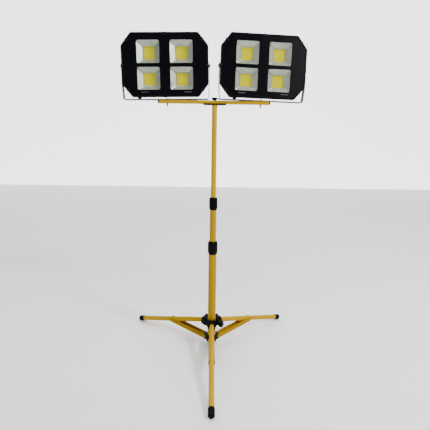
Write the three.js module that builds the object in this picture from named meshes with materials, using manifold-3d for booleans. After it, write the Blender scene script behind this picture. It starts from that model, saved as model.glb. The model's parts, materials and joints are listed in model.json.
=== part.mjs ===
// Twin-head LED work light on a telescopic tripod.
// Millimetres, +Z up, the heads face -Y. Everything is drawn about the mast's axis with the floor at z = 0,
// and the whole group is moved at the end so that its box stands centred on the origin.
import * as THREE from 'three';
import { mergeVertices } from 'three/addons/utils/BufferGeometryUtils.js';
import Module from 'manifold-3d';

const wasm = await Module();
wasm.setup();

// ---- driving dimensions -------------------------------------------------------------------------------

const GAP = 0.3;                       // running gap between neighbouring pieces
const deg = THREE.MathUtils.degToRad;

// Mast: three telescoping steel tubes, outer radius, wall, lowest and highest point.
const LOWER_TUBE = { r: 17.5, wall: 1.5, bottom: 22, top: 448 };
const MID_TUBE = { r: 14, wall: 1.2, bottom: 216, top: 646 };
const TOP_TUBE = { r: 11, wall: 1.2, bottom: 570, top: 1059.2 };
const LOWER_LOCK = { r: 21.3, bottom: 426, top: 484 };
const UPPER_LOCK = { r: 17.9, bottom: 622, top: 677 };
const LOCK_EDGE = { high: 4, shoulder: 1 };
const SLEEVE_LENGTH = 38;

// Tripod: the legs hang on the hub, the braces join them to the collar at the mast's foot.
const LEG_R = 10.5;
const LEG_WALL = 1.2;
const LEG_SLOPE = deg(14.35);          // below the horizontal
const PIVOT_RADIUS = 34;               // of the leg pivots and of the brace pivots, from the mast's axis
const LEG_TO_FOOT = 382;               // leg pivot to the middle of the foot cap
const LEG_TO_RIVET = 190;              // leg pivot to the rivet of the brace
const LEG_DOME = { angles: [0, 45, 90], solid: 14 };
const FOOT_CAP = { r: 12.2, length: 30, wall: 1.4, flat: 0.8, round: 5, air: 3 };
const BRACE = { thick: 2, high: 19, webFrom: 26, webTo: 42 };   // web's ends, from pivot and rivet
const LEG_AZIMUTHS = { front: -90, right: 32.3, left: 151.4 };
const HUB = { r: 23, halfHeight: 22, ringTop: 5, earThick: 4.4, hoodLow: 12, hoodHigh: 15.5, bossR: 9 };
const COLLAR = { r: 23.5, bottom: 18, pivot: 32.4, top: 48, reach: 42.5, floor: 3.5 };
const EAR_ROOT = 19;                   // where the ears grow out of their ring, from the mast's axis
const PIN_HOLE_REACH = 20;             // half the length of the rods that cut the pin holes
const RIVET_R = 3;
const RIVET_HEAD = { r: 6, high: 2 };
const HUB_KNOB = { azimuth: -28, r: 15, depth: 18, standOff: 38 };

// Crossbar: a flat rectangular tube across the top of the mast.
const BAR = { half: 223.5, shift: -2.5, deep: 25, high: 12, wall: 1.5, bottom: 1064 };
const BAR_CAP = { flange: 5, insert: 12 };
const SADDLE = { long: 94, deep: 28, thick: 4.2 };
const STUD_R = 4;
const TOP_KNOB = { r: 14.5, neck: 6.2, rise: 13 };

// Lamp heads, each in its own frame: origin on the tilt axis, +X right, +Y to the back.
const HEAD = { halfWide: 173.1, halfHigh: 123.3, chamferX: 40, chamferZ: 50 };
const HEAD_OFFSET = 190.5;             // yoke bolt from the bar's middle
const HEAD_SHIFT = { left: -4, right: 1 };   // how far each yoke has been slid along its slot
const HEAD_TURN = { left: { yaw: 0, roll: -1.2 }, right: { yaw: 3, roll: 1.2 } };
const FRONT = -20;                     // front of the frame
const FRAME = { depth: 11, face: 3, rim: 4 };
const LUG = { r: 7, proud: 1.6, lowFront: -15 };   // the frame's screw lugs; the bottom one is set back
const WINDOW = { wide: 90.2, high: 87.4, corner: 7, gapX: 41.3, gapZ: 14.6 };
const GLASS = { thick: 4, wide: 252, high: 218 };
const GASKET = { wide: 6, thick: 2.4 };
const EMITTER = { wide: 48, depth: 24, thick: 1.2 };
const HOUSING = { halfWide: 162, halfHigh: 112, chamferX: 38, chamferZ: 48, wall: 3, back: 29 };
const FIN = { count: 15, pitch: 20, thick: 3, reach: 15, halfHigh: 92 };
const DRIVER = { wide: 110, deep: 16, high: 52 };
const GLAND = { x: -109, y: 2.5, topR: 10, waist: -122, tipR: 4.5, tip: -129 };

// Yokes: flat steel straps bent to a U.
const YOKE = {
  base: 172.4, half: 176.1, straight: 76, bend: 3, thick: 2.5, wide: 27, drop: 131.8, washer: 1.2, slot: 5,
};
const YOKE_BOLT = { r: 3, across: 11, head: 2.6, below: 13, nut: 10 };
const PIVOT_BOLT = { r: 4, across: 13, head: 4, boss: 8 };

const ROUND = 24;                      // facets round a large circle
const LEG_ROUND = 16;                  // round a leg
const SMALL_ROUND = 10;                // and round a small one

// ---- materials ----------------------------------------------------------------------------------------

function finish(color, roughness, metalness) {
  return () => new THREE.MeshStandardMaterial({ color, roughness, metalness });
}
const yellow = finish(0xc49a2c, 0.45, 0.2);
const blackPlastic = finish(0x15161a, 0.6, 0);
const blackMetal = finish(0x101116, 0.45, 0.3);
const rubber = finish(0x121212, 0.9, 0);
const zinc = finish(0x9a9a9c, 0.4, 0.9);
const darkSteel = finish(0x2a2a2c, 0.45, 0.8);
const silver = finish(0xd8dbd4, 0.3, 0.6);
const phosphor = finish(0xe0c83a, 0.6, 0);
const clearGlass = finish(0xeef2f2, 0.05, 0);
const whitePlastic = finish(0xd5d5d0, 0.6, 0);

// ---- solids -------------------------------------------------------------------------------------------

function solid(geometry) {
  const bare = geometry.index ? geometry.toNonIndexed() : geometry.clone();
  bare.deleteAttribute('normal');
  bare.deleteAttribute('uv');
  const merged = mergeVertices(bare, 1e-4);
  return new wasm.Manifold(new wasm.Mesh({
    numProp: 3,
    vertProperties: new Float32Array(merged.attributes.position.array),
    triVerts: new Uint32Array(merged.index.array),
  }));
}

function geometryOf(manifold) {
  const mesh = manifold.getMesh();
  const geometry = new THREE.BufferGeometry();
  geometry.setAttribute('position', new THREE.BufferAttribute(new Float32Array(mesh.vertProperties), 3));
  geometry.setIndex(new THREE.BufferAttribute(new Uint32Array(mesh.triVerts), 1));
  return geometry;
}

const join = (first, ...rest) => geometryOf(rest.reduce((sum, g) => sum.add(solid(g)), solid(first)));
const cut = (first, ...rest) => geometryOf(rest.reduce((sum, g) => sum.subtract(solid(g)), solid(first)));

// A box between two corners.
function box(low, high) {
  const size = high.map((value, i) => value - low[i]);
  const middle = high.map((value, i) => (value + low[i]) / 2);
  return new THREE.BoxGeometry(...size).translate(...middle);
}

// A body turned about the Z axis from [radius, z] points.
function turned(points, segments = ROUND) {
  const profile = points.map(([r, z]) => new THREE.Vector2(r, z));
  return new THREE.LatheGeometry(profile, segments).rotateX(Math.PI / 2);
}

function ring(inner, outer, bottom, top, segments = ROUND) {
  const profile = [[inner, bottom], [outer, bottom], [outer, top], [inner, top], [inner, bottom]];
  return turned(profile, segments);
}

function rod(r, bottom, top, segments = SMALL_ROUND) {
  return turned([[0, bottom], [r, bottom], [r, top], [0, top]], segments);
}

// A hexagonal prism along Z, measured across its flats.
function hexagon(across, bottom, top) {
  return turned([[0, bottom], [across / Math.sqrt(3), bottom], [across / Math.sqrt(3), top], [0, top]], 6);
}

const alongX = (geometry) => geometry.rotateY(Math.PI / 2);
const alongY = (geometry) => geometry.rotateX(-Math.PI / 2);

// A flat outline drawn in X and Z, given thickness along Y from y0 to y1.
function plate(shape, y0, y1, curveSegments = 3) {
  const extruded = new THREE.ExtrudeGeometry(shape, { depth: y1 - y0, bevelEnabled: false, curveSegments });
  return extruded.rotateX(Math.PI / 2).translate(0, y1, 0);
}

function polygon(points) {
  return new THREE.Shape(points.map(([x, z]) => new THREE.Vector2(x, z)));
}

function roundedRectangle(wide, high, corner, cx = 0, cz = 0) {
  const x = wide / 2 - corner;
  const z = high / 2 - corner;
  const shape = new THREE.Shape();
  shape.absarc(cx + x, cz + z, corner, 0, Math.PI / 2);
  shape.absarc(cx - x, cz + z, corner, Math.PI / 2, Math.PI);
  shape.absarc(cx - x, cz - z, corner, Math.PI, 1.5 * Math.PI);
  shape.absarc(cx + x, cz - z, corner, 1.5 * Math.PI, 2 * Math.PI);
  return shape;
}

// A link's outline: two round ends of the given radius, the first at the origin, the second at [x, z].
function link(x, z, r) {
  const angle = Math.atan2(z, x);
  const shape = new THREE.Shape();
  shape.absarc(x, z, r, angle - Math.PI / 2, angle + Math.PI / 2);
  shape.absarc(0, 0, r, angle + Math.PI / 2, angle + 1.5 * Math.PI);
  return shape;
}

// An octagon: a rectangle with its corners cut.
function octagon(halfWide, halfHigh, chamferX, chamferZ) {
  const x = halfWide - chamferX;
  const z = halfHigh - chamferZ;
  return polygon([[halfWide, z], [x, halfHigh], [-x, halfHigh], [-halfWide, z],
    [-halfWide, -z], [-x, -halfHigh], [x, -halfHigh], [halfWide, -z]]);
}

// A knob's outline with rounded lobes.
function lobes(count, r, depth) {
  const steps = count * 6;
  const points = [];
  for (let i = 0; i < steps; i += 1) {
    const angle = (2 * Math.PI * i) / steps;
    const reach = r - (depth * (1 - Math.cos(count * angle))) / 2;
    points.push([reach * Math.cos(angle), reach * Math.sin(angle)]);
  }
  return polygon(points);
}

// A lobed disc along Z with rounded edges.
function lobedDisc(count, r, depth, bottom, top) {
  const bevel = 1.5;
  const shape = lobes(count, r - bevel, depth);
  const straight = top - bottom - 2 * bevel;
  const options = { depth: straight, bevelThickness: bevel, bevelSize: bevel, bevelSegments: 1 };
  return new THREE.ExtrudeGeometry(shape, options).translate(0, 0, bottom + bevel);
}

// A rivet along Y with a head at each end, its shank reaching from -half to half.
function rivet(half) {
  const { r, high } = RIVET_HEAD;
  const dome = (side) => [[r, side * half], [r * 0.8, side * (half + high * 0.7)], [0, side * (half + high)]];
  const lower = dome(-1).reverse();
  const profile = [...lower, [RIVET_R, -half], [RIVET_R, half], ...dome(1)];
  return alongY(turned(profile, SMALL_ROUND));
}

const work_light = new THREE.Group();

function add(parent, name, geometry, material) {
  const mesh = new THREE.Mesh(geometry, material());
  mesh.name = name;
  parent.add(mesh);
  return mesh;
}

function group(parent, position, rotation = [0, 0, 0]) {
  const child = new THREE.Group();
  child.position.set(...position);
  child.rotation.set(...rotation);
  parent.add(child);
  return child;
}

// ---- mast ---------------------------------------------------------------------------------------------

function tube({ r, wall, bottom, top }) {
  return ring(r - wall, r, bottom, top);
}

// A barrel-shaped twist-lock collar: its bore is wide round the outer tube and narrow round the inner one.
function twistLock(lock, outer, inner) {
  const { r, bottom, top } = lock;
  const wide = outer.r + GAP;
  const narrow = inner.r + GAP;
  const step = outer.top + GAP;
  const { high, shoulder } = LOCK_EDGE;
  const rim = (wide + r) / 2;
  return turned([
    [wide, bottom], [rim, bottom], [r - shoulder, bottom + high], [r, bottom + 3 * high],
    [r, top - 3 * high], [r - shoulder, top - high], [r - high, top], [narrow, top],
    [narrow, step], [wide, step], [wide, bottom],
  ]);
}

// The split plastic sleeve that a twist lock squeezes, inside the outer tube's mouth.
function lockSleeve(outer, inner) {
  const top = outer.top - 1;
  return ring(inner.r + GAP, outer.r - outer.wall - GAP, top - SLEEVE_LENGTH, top);
}

// The plug in the top tube, with the stud that carries the saddle, the crossbar and the knob.
function topPlug() {
  const bore = TOP_TUBE.r - TOP_TUBE.wall - GAP;
  const studTop = BAR.bottom + BAR.high + 8;
  return turned([[0, TOP_TUBE.top - 30], [bore, TOP_TUBE.top - 30], [bore, TOP_TUBE.top - GAP],
    [STUD_R, TOP_TUBE.top - GAP], [STUD_R, studTop], [0, studTop]]);
}

add(work_light, 'lower_tube', tube(LOWER_TUBE), yellow);
add(work_light, 'mid_tube', tube(MID_TUBE), yellow);
add(work_light, 'top_tube', tube(TOP_TUBE), yellow);
add(work_light, 'twist_lock_lower', twistLock(LOWER_LOCK, LOWER_TUBE, MID_TUBE), blackPlastic);
add(work_light, 'twist_lock_upper', twistLock(UPPER_LOCK, MID_TUBE, TOP_TUBE), blackPlastic);
add(work_light, 'lock_sleeve_lower', lockSleeve(LOWER_TUBE, MID_TUBE), whitePlastic);
add(work_light, 'lock_sleeve_upper', lockSleeve(MID_TUBE, TOP_TUBE), whitePlastic);
add(work_light, 'mast_top_plug', topPlug(), zinc);

// ---- tripod -------------------------------------------------------------------------------------------

// The leg pivots' height follows from the foot caps standing on the floor.
const CAP_END = LEG_TO_FOOT + FOOT_CAP.length / 2;
const CAP_CORNER = CAP_END - FOOT_CAP.round;
const HUB_Z = CAP_CORNER * Math.sin(LEG_SLOPE) + FOOT_CAP.r * Math.cos(LEG_SLOPE) - FOOT_CAP.flat;

// A brace reaches from its pivot on the collar out and up to the rivet on the leg.
const BRACE_OUT = LEG_TO_RIVET * Math.cos(LEG_SLOPE);
const BRACE_UP = HUB_Z - LEG_TO_RIVET * Math.sin(LEG_SLOPE) - COLLAR.pivot;
const BRACE_LENGTH = Math.hypot(BRACE_OUT, BRACE_UP);
const BRACE_SLOPE = Math.atan2(BRACE_UP, BRACE_OUT);

// Two ears side by side, drawn as [radius, z] outline, one on each side of a slot of the given half width.
function ears(outline, slot, thick) {
  const shape = polygon(outline);
  return [plate(shape, slot, slot + thick), plate(shape, -slot - thick, -slot)];
}

// A rod that cuts a pin hole along Y.
function pinHole() {
  return alongY(rod(RIVET_R + GAP, -PIN_HOLE_REACH, PIN_HOLE_REACH));
}

function aroundMast(geometry, azimuth) {
  return geometry.rotateZ(deg(azimuth));
}

// The sliding hub: a ring with a hooded pair of ears round each leg's upper end, and a boss for its knob.
function legHub() {
  const { r, halfHeight, ringTop, earThick, hoodLow, hoodHigh, bossR } = HUB;
  const low = HUB_Z - halfHeight;
  const high = HUB_Z + halfHeight;
  const slot = LEG_R + GAP;
  const outline = [
    [EAR_ROOT, low + 2], [30, low + 2], [44, HUB_Z - 14], [48, HUB_Z - 2], [39, high - 1],
    [EAR_ROOT, high - 1],
  ];
  const hoodRoot = EAR_ROOT + 1;
  const hood = polygon([
    [hoodRoot, HUB_Z + hoodLow], [43, HUB_Z + hoodLow],
    [42, HUB_Z + hoodHigh], [hoodRoot, HUB_Z + hoodHigh],
  ]);
  const parts = [ring(LOWER_TUBE.r + GAP, r, low, HUB_Z + ringTop)];
  const bores = [rod(LOWER_TUBE.r + GAP, low - 1, high + 1, ROUND)];
  for (const azimuth of Object.values(LEG_AZIMUTHS)) {
    for (const ear of ears(outline, slot, earThick)) parts.push(aroundMast(ear, azimuth));
    parts.push(aroundMast(plate(hood, -slot - 1, slot + 1), azimuth));
    bores.push(aroundMast(pinHole().translate(PIVOT_RADIUS, 0, HUB_Z), azimuth));
  }
  const boss = alongX(rod(bossR, EAR_ROOT, HUB_KNOB.standOff - 3)).translate(0, 0, HUB_Z);
  parts.push(aroundMast(boss, HUB_KNOB.azimuth));
  const screw = alongX(rod(STUD_R + GAP, 10, HUB_KNOB.standOff)).translate(0, 0, HUB_Z);
  bores.push(aroundMast(screw, HUB_KNOB.azimuth));
  return cut(join(...parts), ...bores);
}

function hubKnob() {
  const { r, depth, standOff, azimuth } = HUB_KNOB;
  const screw = rod(STUD_R, LOWER_TUBE.r + GAP, standOff + 2);
  const head = lobedDisc(5, r, 3.5, standOff + 3, standOff + depth);
  const neck = rod(8, standOff - 2.5, standOff + 4);
  return aroundMast(alongX(join(screw, neck, head)).translate(0, 0, HUB_Z), azimuth);
}

// The collar at the mast's foot: a cup with one bored tongue for each brace, which fits between its flanges.
function braceCollar() {
  const { r, bottom, top, floor, reach, pivot: z } = COLLAR;
  const bore = LOWER_TUBE.r + GAP;
  const outline = polygon([
    [EAR_ROOT, bottom], [34, bottom], [reach - 2, z - 6], [reach, z], [reach - 2, z + 6], [37, z + 9],
    [EAR_ROOT, z + 12],
  ]);
  const cup = [[0, bottom], [r, bottom], [r, top], [bore, top], [bore, bottom + floor], [0, bottom + floor]];
  const parts = [turned(cup)];
  const bores = [rod(bore, bottom + floor, top + 1, ROUND)];
  for (const azimuth of Object.values(LEG_AZIMUTHS)) {
    parts.push(aroundMast(plate(outline, -LEG_R, LEG_R), azimuth));
    bores.push(aroundMast(pinHole().translate(PIVOT_RADIUS, 0, z), azimuth));
  }
  return cut(join(...parts), ...bores);
}

// A leg along +X from its pivot: a tube with a domed, closed upper end and a cross hole at each rivet.
function leg() {
  const end = CAP_END - FOOT_CAP.wall - FOOT_CAP.air;
  const bore = LEG_R - LEG_WALL;
  const dome = LEG_DOME.angles.map((a) => [LEG_R * Math.sin(deg(a)), -LEG_R * Math.cos(deg(a))]);
  const { solid: closed } = LEG_DOME;
  const body = alongX(turned([...dome, [LEG_R, end], [bore, end], [bore, closed], [0, closed]], LEG_ROUND));
  return cut(body, pinHole(), pinHole().translate(LEG_TO_RIVET, 0, 0));
}

// The rubber cap pushed over the leg's end, cut level where it stands on the floor.
function footCap(floorBelowPivot) {
  const { r, length, wall, air, round } = FOOT_CAP;
  const start = CAP_END - length;
  const seat = CAP_END - wall - air + GAP;
  const bore = LEG_R + GAP;
  const profile = [
    [bore, start], [r - 0.8, start], [r, start + 2], [r, CAP_CORNER],
    [r - 0.3 * round, CAP_END - 0.3 * round], [r - round, CAP_END],
    [0, CAP_END], [0, seat], [bore, seat], [bore, start],
  ];
  const level = box([start - 50, -40, -40], [CAP_END + 50, 40, 0]).rotateY(-LEG_SLOPE);
  // Downwards, in the leg's own frame, where the leg lies along +X.
  const down = new THREE.Vector3(Math.sin(LEG_SLOPE), 0, -Math.cos(LEG_SLOPE));
  level.translate(down.x * floorBelowPivot, 0, down.z * floorBelowPivot);
  return cut(alongX(turned(profile, LEG_ROUND)), level);
}

// A brace along +X from its pivot on the collar: a steel channel, open upwards, that straddles the leg at one
// end and the collar's tongue at the other, with the two heads of its pivot pin.
function brace() {
  const { thick, high, webFrom, webTo } = BRACE;
  const inner = LEG_R + GAP;
  const outer = inner + thick;
  const parts = [box([webFrom, -inner - 1, -high / 2], [BRACE_LENGTH - webTo, inner + 1, thick - high / 2])];
  for (const side of [-1, 1]) {
    const [from, to] = side > 0 ? [inner, outer] : [-outer, -inner];
    parts.push(plate(link(BRACE_LENGTH, 0, high / 2), from, to, 5));
    const head = rod(RIVET_HEAD.r, outer - 1, outer + RIVET_HEAD.high);
    parts.push(side > 0 ? alongY(head) : alongY(head).rotateZ(Math.PI));
  }
  return cut(join(...parts), pinHole().translate(BRACE_LENGTH, 0, 0));
}

const BRACE_RIVET_HALF = LEG_R + BRACE.thick + 2 * GAP;
const LEG_PIN_HALF = LEG_R + HUB.earThick + 2 * GAP;

add(work_light, 'leg_hub', legHub(), blackPlastic);
add(work_light, 'hub_lock_knob', hubKnob(), blackPlastic);
add(work_light, 'brace_collar', braceCollar(), blackPlastic);

for (const [name, azimuth] of Object.entries(LEG_AZIMUTHS)) {
  const arm = group(work_light, [0, 0, 0], [0, 0, deg(azimuth)]);
  const hinge = group(arm, [PIVOT_RADIUS, 0, HUB_Z], [0, LEG_SLOPE, 0]);
  add(hinge, `leg_${name}`, leg(), yellow);
  add(hinge, `foot_cap_${name}`, footCap(HUB_Z), rubber);
  add(hinge, `brace_rivet_${name}`, rivet(BRACE_RIVET_HALF).translate(LEG_TO_RIVET, 0, 0), yellow);
  add(arm, `leg_pin_${name}`, rivet(LEG_PIN_HALF).translate(PIVOT_RADIUS, 0, HUB_Z), darkSteel);
  const lowerEnd = group(arm, [PIVOT_RADIUS, 0, COLLAR.pivot], [0, -BRACE_SLOPE, 0]);
  add(lowerEnd, `brace_${name}`, brace(), yellow);
}

// ---- crossbar -----------------------------------------------------------------------------------------

const BAR_TOP = BAR.bottom + BAR.high;

function crossbar() {
  const y = BAR.deep / 2;
  const outside = box([-BAR.half, -y, BAR.bottom], [BAR.half, y, BAR_TOP]);
  const { wall } = BAR;
  const inside = box([-BAR.half - 1, wall - y, BAR.bottom + wall], [BAR.half + 1, y - wall, BAR_TOP - wall]);
  const holes = [rod(STUD_R + GAP, BAR.bottom - 1, BAR_TOP + 1).translate(-BAR.shift, 0, 0)];
  for (const side of [-1, 1]) {
    holes.push(rod(YOKE_BOLT.r + GAP, BAR.bottom - 1, BAR_TOP + 1).translate(side * HEAD_OFFSET, 0, 0));
  }
  return cut(outside, inside, ...holes);
}

// The plastic plug in one end of the bar.
function barCap(side) {
  const { flange, insert } = BAR_CAP;
  const y = BAR.deep / 2;
  const inset = BAR.wall + GAP;
  const face = BAR.half + GAP;
  const head = box([face, -y, BAR.bottom], [face + flange, y, BAR_TOP]);
  const plug = box([face - insert, inset - y, BAR.bottom + inset], [face + 1, y - inset, BAR_TOP - inset]);
  return join(head, plug).rotateZ(side > 0 ? 0 : Math.PI);
}

function saddle() {
  const top = BAR.bottom - GAP;
  const shape = roundedRectangle(SADDLE.long, SADDLE.deep, 3);
  const flat = plate(shape, 0, SADDLE.thick).rotateX(-Math.PI / 2).translate(0, 0, top);
  return cut(flat, rod(STUD_R + GAP, top - 10, top + 10));
}

function crossbarKnob() {
  const { r, neck, rise } = TOP_KNOB;
  const low = BAR_TOP + GAP;
  const flare = [[0, low], [neck, low], [neck + 1, low + 4], [r - 4, low + 6], [0, low + 6]];
  const stem = turned(flare, LEG_ROUND);
  const cap = lobedDisc(6, r, 2.2, low + 5, low + rise - 2);
  const crown = low + rise;
  const dome = turned([[0, crown - 3], [r - 5, crown - 3], [r - 7, crown - 0.6], [0, crown]], LEG_ROUND);
  return cut(join(stem, cap, dome), rod(STUD_R + GAP, low - 1, low + 9));
}

// The nut held inside the bar that a yoke bolt screws into.
function barNut() {
  const top = BAR_TOP - BAR.wall - GAP;
  return cut(hexagon(YOKE_BOLT.nut, top - 5, top), rod(YOKE_BOLT.r + GAP, top - 6, top + 1));
}

// The bar sits a little off the middle of its stud.
const bar = group(work_light, [BAR.shift, 0, 0]);
add(bar, 'crossbar', crossbar(), yellow);
add(bar, 'crossbar_cap_left', barCap(-1), blackPlastic);
add(bar, 'crossbar_cap_right', barCap(1), blackPlastic);
add(work_light, 'crossbar_saddle', saddle(), blackMetal);
add(work_light, 'crossbar_knob', crossbarKnob(), blackPlastic);

// ---- lamp heads ---------------------------------------------------------------------------------------

const WINDOW_X = (WINDOW.wide + WINDOW.gapX) / 2;
const WINDOW_Z = (WINDOW.high + WINDOW.gapZ) / 2;
const GLASS_FRONT = FRONT + FRAME.face + GAP;
const REFLECTOR_FRONT = GLASS_FRONT + GLASS.thick + GAP;
const EMITTER_FACE = FRONT + EMITTER.depth;
const HOUSING_FRONT = FRONT + FRAME.depth + GAP;

// Makes one piece for each of the four windows, given the window's middle.
function eachWindow(make) {
  return [[-1, 1], [1, 1], [-1, -1], [1, -1]].map(([sx, sz]) => make(sx * WINDOW_X, sz * WINDOW_Z));
}

// Round lugs for the frame's screws: one in the middle of each chamfer, one at the top and one at the bottom.
function screwLugs(front, back) {
  const { halfWide, halfHigh, chamferX, chamferZ } = HEAD;
  const sunk = LUG.r - LUG.proud;
  const slant = Math.hypot(chamferX, chamferZ);
  const x = halfWide - chamferX / 2 - (sunk * chamferZ) / slant;
  const z = halfHigh - chamferZ / 2 - (sunk * chamferX) / slant;
  const spots = [[x, z], [-x, z], [x, -z], [-x, -z], [0, halfHigh - sunk]];
  const lugs = spots.map(([a, b]) => alongY(rod(LUG.r, front, back, LEG_ROUND)).translate(a, 0, b));
  lugs.push(alongY(rod(LUG.r, LUG.lowFront, back, LEG_ROUND)).translate(0, 0, sunk - halfHigh));
  return lugs;
}

function frontFrame() {
  const { halfWide, halfHigh, chamferX, chamferZ } = HEAD;
  const { depth, face, rim } = FRAME;
  const back = FRONT + depth;
  const plain = plate(octagon(halfWide, halfHigh, chamferX, chamferZ), FRONT, back);
  const body = join(plain, ...screwLugs(FRONT, back));
  const hollow = octagon(halfWide - rim, halfHigh - rim, chamferX - 1, chamferZ - 1);
  const pocket = plate(hollow, FRONT + face, back + 1);
  const { wide, high, corner } = WINDOW;
  const windows = eachWindow((x, z) => plate(roundedRectangle(wide, high, corner, x, z), FRONT - 1, back));
  return cut(body, pocket, ...windows);
}

function glassPane() {
  return plate(roundedRectangle(GLASS.wide, GLASS.high, 4), GLASS_FRONT, GLASS_FRONT + GLASS.thick);
}

// The seal round the glass, squeezed between the frame and the housing.
function gasket() {
  const { wide, thick } = GASKET;
  const outer = roundedRectangle(GLASS.wide + 2 * wide, GLASS.high + 2 * wide - 2, 8);
  outer.holes.push(roundedRectangle(GLASS.wide + 2 * GAP, GLASS.high + 2 * GAP, 4));
  return plate(outer, GLASS_FRONT, GLASS_FRONT + thick);
}

// A tray with four square funnels that narrow from the windows to the light chips.
function reflector() {
  const back = EMITTER_FACE - GAP;
  const wide = 2 * WINDOW_X + WINDOW.wide + 10;
  const high = 2 * WINDOW_Z + WINDOW.high + 10;
  const body = plate(roundedRectangle(wide, high, 4), REFLECTOR_FRONT, back);
  const deep = back - REFLECTOR_FRONT + 0.2;
  const chip = EMITTER.wide + 2;
  const wells = eachWindow((x, z) => {
    const funnel = new THREE.CylinderGeometry(chip / Math.SQRT2, WINDOW.wide / Math.SQRT2, deep, 4, 1);
    funnel.rotateY(Math.PI / 4);
    funnel.scale(1, 1, WINDOW.high / WINDOW.wide);
    return funnel.translate(x, (REFLECTOR_FRONT + back) / 2, z);
  });
  return cut(body, ...wells);
}

// The aluminium board with its four square light chips.
function ledBoard() {
  const front = EMITTER_FACE;
  const wide = 2 * WINDOW_X + EMITTER.wide + 30;
  const high = 2 * WINDOW_Z + EMITTER.wide + 30;
  const half = EMITTER.wide / 2;
  const board = plate(roundedRectangle(wide, high, 3), front, front + 2);
  const halfZ = (half * WINDOW.high) / WINDOW.wide;
  const [chipFront, chipBack] = [front - EMITTER.thick, front + 1];
  const chips = eachWindow((x, z) => box([x - half, chipFront, z - halfZ], [x + half, chipBack, z + halfZ]));
  return join(board, ...chips);
}

// The die-cast back: an open tray with cooling fins and a boss for each pivot bolt.
function housing() {
  const { halfWide, halfHigh, chamferX, chamferZ, wall, back } = HOUSING;
  const shell = plate(octagon(halfWide, halfHigh, chamferX, chamferZ), HOUSING_FRONT, back);
  const tray = octagon(halfWide - wall, halfHigh - wall, chamferX - 1, chamferZ - 1);
  const hollow = plate(tray, HOUSING_FRONT - 1, back - wall);
  const fins = [];
  for (let i = 0; i < FIN.count; i += 1) {
    const x = (i - (FIN.count - 1) / 2) * FIN.pitch;
    const half = FIN.halfHigh - Math.max(0, Math.abs(x) - (halfWide - chamferX)) * (chamferZ / chamferX);
    fins.push(box([x - FIN.thick / 2, back - 1, -half], [x + FIN.thick / 2, back + FIN.reach, half]));
  }
  const reach = YOKE.half - YOKE.thick - GAP;
  const bosses = [];
  const threads = [];
  for (const side of [-1, 1]) {
    const [start, end] = side > 0 ? [halfWide - 12, reach] : [-reach, 12 - halfWide];
    bosses.push(alongX(rod(PIVOT_BOLT.boss, start, end, LEG_ROUND)));
    const [from, to] = side > 0 ? [start + 2, end + 1] : [start - 1, end - 2];
    threads.push(alongX(rod(PIVOT_BOLT.r + GAP, from, to)));
  }
  const tray3d = cut(shell, hollow);
  const gland = rod(GLAND.tipR, -halfHigh - 1, wall - halfHigh + 1).translate(GLAND.x, GLAND.y, 0);
  return cut(join(tray3d, ...fins, ...bosses), ...threads, gland);
}

function driverBox() {
  const y = EMITTER_FACE + 3;
  return box([-DRIVER.wide / 2, y, -DRIVER.high / 2], [DRIVER.wide / 2, y + DRIVER.deep, DRIVER.high / 2]);
}

// The cable gland: a tapered nut under the housing.
function cableGland() {
  const { x, y, topR, waist, tipR, tip } = GLAND;
  const top = -HOUSING.halfHigh - GAP;
  const spigot = tipR - GAP;
  const profile = [
    [0, tip], [tipR - 1, tip], [tipR, tip + 1], [topR, waist], [topR, top],
    [spigot, top], [spigot, top + 8], [0, top + 8],
  ];
  return turned(profile, LEG_ROUND).translate(x, y, 0);
}

// A solid of slot shape along Z, its round ends centred at -reach and +reach on X.
function slotted(reach, r, bottom, top, segments) {
  const ends = [-reach, reach].map((x) => rod(r, bottom, top, segments).translate(x, 0, 0));
  return join(...ends, box([-reach, -r, bottom], [reach, r, top]));
}

// The yoke: a base strap and two arms that spread upwards to round, upright ends. A raised pad round the slot
// for the bolt keeps the strap off the bar.
function yoke() {
  const { base, half, straight, bend, thick, wide, drop, washer, slot } = YOKE;
  const y = wide / 2;
  const outside = [[base - bend, -drop], [base, bend - drop], [half, -straight]];
  const inside = [[half - thick, -straight], [base - thick, thick - drop]];
  const rightHalf = [...outside, ...inside];
  const leftHalf = rightHalf.map(([x, z]) => [-x, z]).reverse();
  const strip = plate(polygon([...rightHalf, ...leftHalf]), -y, y);
  const parts = [slotted(slot, 8, -drop - washer + 2 * GAP, thick - drop, LEG_ROUND)];
  const holes = [slotted(slot, YOKE_BOLT.r + GAP, -drop - 5, -drop + 5, SMALL_ROUND)];
  for (const side of [-1, 1]) {
    const [start, end] = side > 0 ? [half - thick, half] : [-half, thick - half];
    parts.push(alongX(rod(y, start, end, ROUND)), box([start, -y, -straight - 0.01], [end, y, 0]));
    holes.push(alongX(rod(PIVOT_BOLT.r + GAP, start - 5, end + 5)));
  }
  return cut(join(strip, ...parts), ...holes);
}

// The hex bolt that holds a yoke down on the bar. It screws into the nut inside.
function yokeBolt() {
  const seat = BAR_TOP + YOKE.washer + YOKE.thick + GAP;
  return join(hexagon(YOKE_BOLT.across, seat, seat + YOKE_BOLT.head),
    rod(YOKE_BOLT.r, BAR.bottom - YOKE_BOLT.below, seat + 1));
}

// The hex bolt through a yoke arm into the housing, pointing inwards from +X.
function pivotBolt(side) {
  const seat = YOKE.half + GAP;
  const head = hexagon(PIVOT_BOLT.across, seat, seat + PIVOT_BOLT.head);
  const shank = rod(PIVOT_BOLT.r, HOUSING.halfWide - 9, seat + 1);
  return alongX(join(head, shank)).rotateZ(side > 0 ? 0 : Math.PI);
}

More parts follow.
